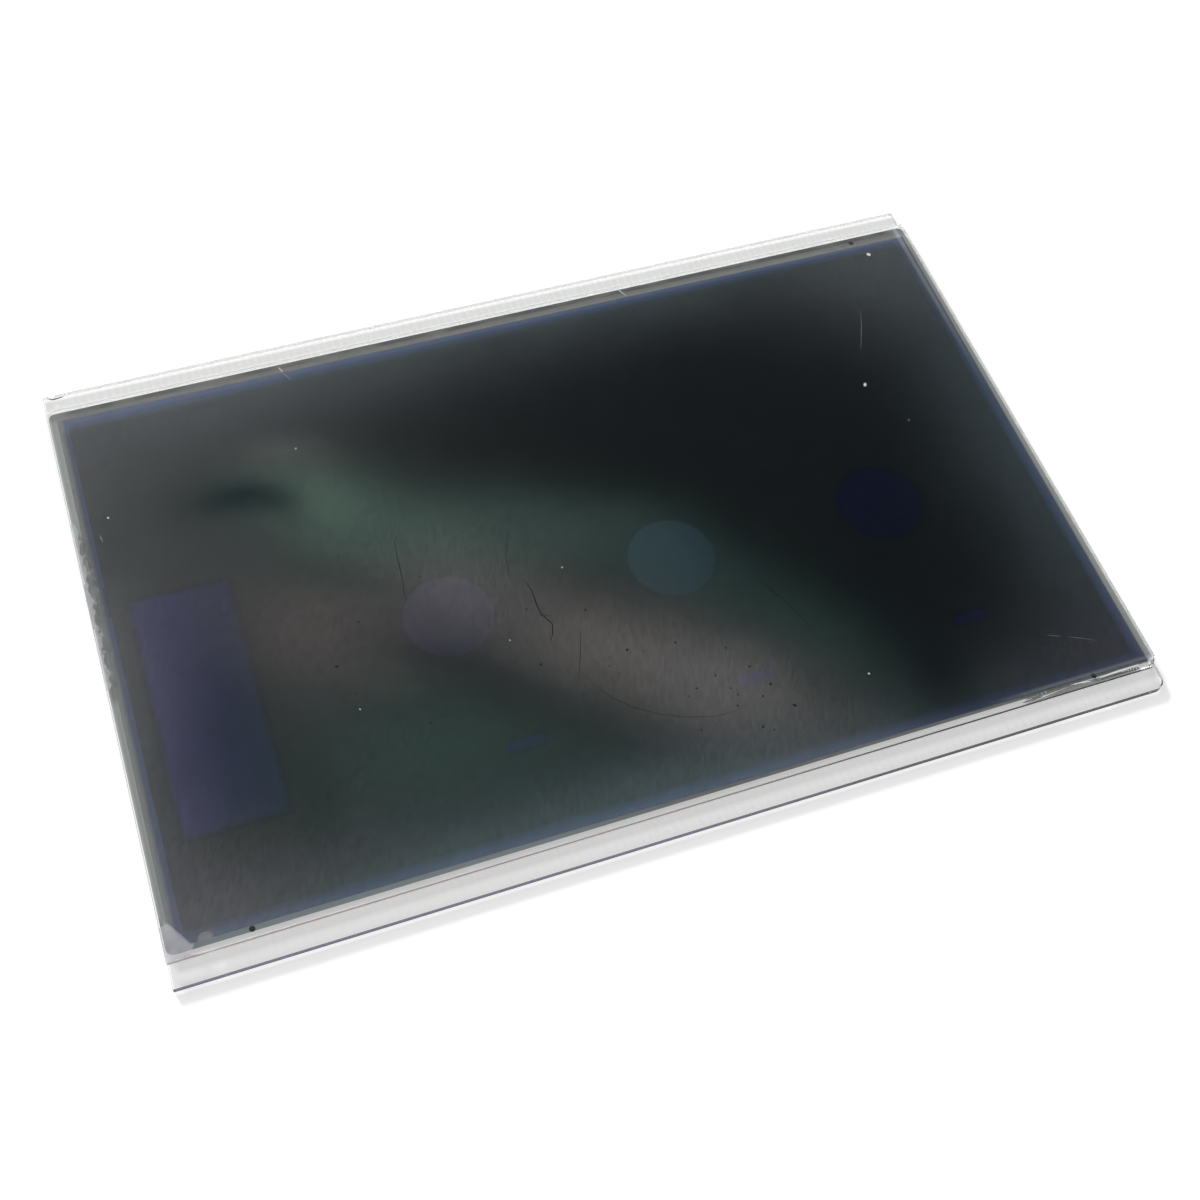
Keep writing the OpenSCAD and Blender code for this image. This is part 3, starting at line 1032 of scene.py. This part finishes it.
@dataclass
class EdgeDamage:
    """Marks in the glass: breaks at the near right corner, nicks and worn corners, with painted
    highlights and painted shade.
    """

    # Pale rims of the breaks and of two marks at the far edge, partly painted highlight
    pale_rims_and_glints: tuple[Line, ...] = (
        Line(((60.5, -43.4), (61.6, -43.32), (62.7, -43.26), (64.6, -43.24), (66.1, -43.22),
              (67.1, -43.12)), 0.36, 0.01),
        Line(((56.1, -43.14), (57.2, -43.22), (58.3, -43.36), (59.3, -43.5)), 0.2, 0.01),
        Line(((66.9, -43.62), (66.7, -43.45), (66.9, -43.3)), 0.1, 0.01),
        Line(((68.2, -43.5), (68.6, -43.2), (68.8, -42.9), (69.3, -42.7), (69.8, -42.7)),
             0.14, 0.03),
        Line(((-35.6, 42.2), (-35.3, 41.5), (-35.1, 40.9)), 0.16, 0.02),
        Line(((19.2, 43.0), (19.8, 42.0), (20.3, 41.0)), 0.16, 0.02),
    )
    dark: tuple[Line, ...] = (
        Line(((60.6, -43.56), (61.8, -43.48), (63.0, -43.4), (64.8, -43.38), (66.4, -43.36)),
             0.1, 0.01),
        Line(((59.4, -43.68), (61.0, -43.7), (62.8, -43.68), (65.0, -43.7), (66.9, -43.68)),
             0.12, 0.02),
        Line(((66.3, -43.36), (66.6, -43.5), (66.9, -43.66)), 0.12, 0.02),
        Line(((67.4, -42.9), (67.9, -42.8), (68.4, -42.95), (68.3, -43.4)), 0.22, 0.05),
        Line(((69.75, -42.65), (69.6, -43.05), (69.4, -43.3), (69.1, -43.55), (68.5, -43.7),
              (67.9, -43.7)), 0.16, 0.04),
        Line(((68.9, -42.6), (68.7, -43.0), (69.0, -43.3)), 0.1, 0.04),
        Line(((50.3, -43.16), (50.6, -43.1), (51.0, -43.12)), 0.14, 0.02),
        Line(((56.3, -43.14), (56.5, -43.06), (56.8, -43.1)), 0.2, 0.02),
    )
    # Bright specks at the break: painted glints
    glint_specks: tuple[Grain, ...] = grains(
        (69.15, -42.85, 0.4), (69.45, -42.7, 0.3), (68.85, -43.4, 0.25),
        (69.0, -43.05, 0.3), (68.5, -43.55, 0.22), (51.5, -43.12, 0.3),
        (52.1, -43.08, 0.25), (50.8, -43.05, 0.18), (49.2, -42.4, 0.22))
    strip_start: Point = (60.9, -43.57)
    strip_pace: float = 0.44
    strip_width: float = 0.42
    strip_count: int = 14
    crushed: tuple[Line, ...] = (
        Line(((48.2, -43.62), (49.6, -43.6), (51.4, -43.57)), 0.34, 0.03),
        Line(((48.8, -43.28), (50.6, -43.32), (52.4, -43.28), (54.2, -43.22), (56.0, -43.15),
              (58.0, -43.08)), 0.44, 0.04),
    )
    # Painted shade in the nick at the far left corner and round the worn near right corner
    rear_nick_and_corner_shade: tuple[Line, ...] = (
        Line(((-69.3, 46.45), (-68.5, 46.25), (-67.5, 46.35), (-67.0, 46.4)), 0.3, 0.05),
        Line(((68.7, -46.84), (69.25, -46.62), (69.6, -46.25), (69.8, -45.8)), 0.24, 0.03),
    )

    def build(self) -> None:
        """Lays the marks on the plates' faces."""
        top = Span.of("front_glass").high.z
        raised = LineMaker(surface=top + 0.01, height=0.05)
        flat = LineMaker(surface=top, height=0.02)
        rear_face = LineMaker(surface=Span.of("rear_glass").high.z, height=0.02)
        shards = GrainMaker(surface=top, height=0.12, jitter=0.4)
        specks = GrainMaker(surface=top, height=0.02)
        x, y = self.strip_start
        strip = grains(*((x + self.strip_pace * step, y, self.strip_width)
                         for step in range(self.strip_count)))
        # Pale break rims and glints, partly painted highlight
        pale_and_glinting = PlainFinish("pale_break_and_glint", (0.86, 0.88, 0.88), (0.74, 0.78, 0.79), cloud=0.4,
                            roughness=0.35, shine=0.5, solidity=0.8)
        shaded = PlainFinish("break_shadow", (0.05, 0.05, 0.055), (0.09, 0.09, 0.095), cloud=0.4,
                             solidity=0.7)
        dull = PlainFinish("crushed_glass", (0.11, 0.11, 0.105), (0.2, 0.2, 0.19), cloud=0.4,
                           roughness=0.7, solidity=0.7)
        for name, maker, marks, finish in (
                ("break_rims_and_glints", raised, self.pale_rims_and_glints, pale_and_glinting),
                ("break_shadows", flat, self.dark, shaded),
                ("break_glints", shards, self.glint_specks, pale_and_glinting),
                ("worn_corner_shade", rear_face, self.rear_nick_and_corner_shade, shaded),
                ("crushed_edge", flat, self.crushed, dull),
                ("crushed_strip", specks, strip, dull)):
            lay_marks(name, maker, marks, finish)


@dataclass(frozen=True)
class Lamp:
    """A square soft lamp that looks at the object: place and side in metres, power in watts."""

    name: str
    at: Place
    side: float
    power: float

    def light(self) -> None:
        """Makes the lamp."""
        data = bpy.data.lights.new(self.name, "AREA")
        data.shape = "SQUARE"
        data.size = self.side
        data.energy = self.power
        lamp = bpy.data.objects.new(self.name, data)
        at = Vector(self.at)
        lamp.matrix_world = Matrix.LocRotScale(at, (-at).to_track_quat("-Z", "Y"), None)
        bpy.context.scene.collection.objects.link(lamp)


@dataclass
class Studio:
    """Pale floor and backdrop, soft lamps and the camera. Its lengths are in metres."""

    floor_radius: float = 3.0
    floor_sides: int = 96
    wall_height: float = 2.0
    floor_drop: float = 0.00005
    surround: float = 0.26
    lamps: tuple[Lamp, ...] = (
        Lamp("back_lamp", (-0.5, 1.6, 1.05), 0.5, 40.0),
        Lamp("front_lamp", (0.7, -0.8, 1.0), 0.8, 2.5),
        Lamp("left_lamp", (-0.9, -0.5, 0.9), 0.7, 2.5),
    )
    camera_at: Place = (-0.052867, -0.114799, 0.194182)
    camera_forward: Place = (0.22543, 0.46422, -0.85655)
    camera_up: Place = (0.25102, 0.82182, 0.51147)
    lens: float = 47.741
    sensor: float = 36.0

    # The floor's lift, a little stronger on the near side as painted light that pales the
    # object's shadow there. The two runs over which it changes are in millimetres
    painted_lift_near: Ramp = (0.31, 0.4)
    lift_far: float = 0.9
    lift_side: Ramp = (40, -45)
    lift_run: Ramp = (250, 1500)

    def build(self) -> None:
        """Makes the studio."""
        self._floor()
        self._wall()
        self._world()
        for lamp in self.lamps:
            lamp.light()
        self._camera()

    def _floor(self) -> None:
        """A flat pale floor under the object."""
        shape = bmesh.new()
        bmesh.ops.create_circle(shape, cap_ends=True, segments=self.floor_sides,
                                radius=self.floor_radius)
        bmesh.ops.translate(shape, verts=shape.verts, vec=(0, 0, -self.floor_drop))
        piece = new_object("floor", shape, self._floor_paint())

    def _wall(self) -> None:
        """A round pale backdrop that stands on the floor's edge."""
        shape = bmesh.new()
        bmesh.ops.create_circle(shape, segments=self.floor_sides, radius=self.floor_radius)
        grown = bmesh.ops.extrude_edge_only(shape, edges=shape.edges[:])["geom"]
        top = [item for item in grown if isinstance(item, bmesh.types.BMVert)]
        bmesh.ops.translate(shape, verts=top, vec=(0, 0, self.wall_height))
        piece = new_object("backdrop", shape, self._wall_paint())

    def _floor_paint(self) -> Material:
        """Dull white, lifted where it is seen so that it shows as white, and clear from below.

        Returns:
            The material.
        """
        sheet = NodeSheet("floor_paint")
        dull = sheet.node("BsdfDiffuse", {"Color": (0.8, 0.8, 0.8)}).outputs[0]
        # Painted light: the lift grows towards the near side, paling the object's shadow there
        painted_near_lift = sheet.fade(sheet.axes(sheet.place)[1], *self.lift_side, *self.painted_lift_near)
        strength = sheet.fade(sheet.distance(), *self.lift_run, painted_near_lift, self.lift_far)
        seen = sheet.any_ray("Camera", "Glossy", "Transmission")
        lift = sheet.node("Emission", {"Strength": sheet.times(seen, strength)}).outputs[0]
        both = sheet.node("AddShader", {0: dull, 1: lift}).outputs[0]
        return sheet.finish(sheet.blend(sheet.from_behind(), both, sheet.clear()))

    def _wall_paint(self) -> Material:
        """White for sight, gloss and glass, and as dim as the surround for everything else.

        Returns:
            The material.
        """
        sheet = NodeSheet("backdrop_paint")
        seen = sheet.any_ray("Camera", "Glossy", "Transmission")
        strength = sheet.sum("MULTIPLY_ADD", seen, 1 - self.surround, self.surround)
        return sheet.finish(sheet.node("Emission", {"Strength": strength}).outputs[0])

    def _world(self) -> None:
        """A soft even surround."""
        world = bpy.data.worlds.new("surround")
        bpy.context.scene.world = world
        world.use_nodes = True
        background = world.node_tree.nodes["Background"].inputs
        background["Color"].default_value = (1, 1, 1, 1)
        background["Strength"].default_value = self.surround

    def _camera(self) -> None:
        """The camera at the photograph's place and angle."""
        data = bpy.data.cameras.new("camera")
        data.lens = self.lens
        data.sensor_width = self.sensor
        data.sensor_fit = "HORIZONTAL"
        data.clip_start = 0.01
        forward = Vector(self.camera_forward).normalized()
        right = forward.cross(Vector(self.camera_up)).normalized()
        turn = Matrix((right, right.cross(forward), -forward)).transposed().to_quaternion()
        camera = bpy.data.objects.new("camera", data)
        camera.matrix_world = Matrix.LocRotScale(Vector(self.camera_at), turn, None)
        bpy.context.scene.collection.objects.link(camera)
        bpy.context.scene.camera = camera


def main() -> None:
    """Builds the studio and dresses each sub-assembly in order."""
    logging.basicConfig(level=logging.INFO, format="%(name)s: %(message)s")
    bpy.context.scene.view_settings.view_transform = "Standard"
    for part in (Studio(), GlassPlates(), Films(), SealAndFilling(), ContactRows(),
                 GlueRemains(), EdgeDamage()):
        part.build()
        LOG.info("built %s", type(part).__name__)


if __name__ == "__main__":
    main()
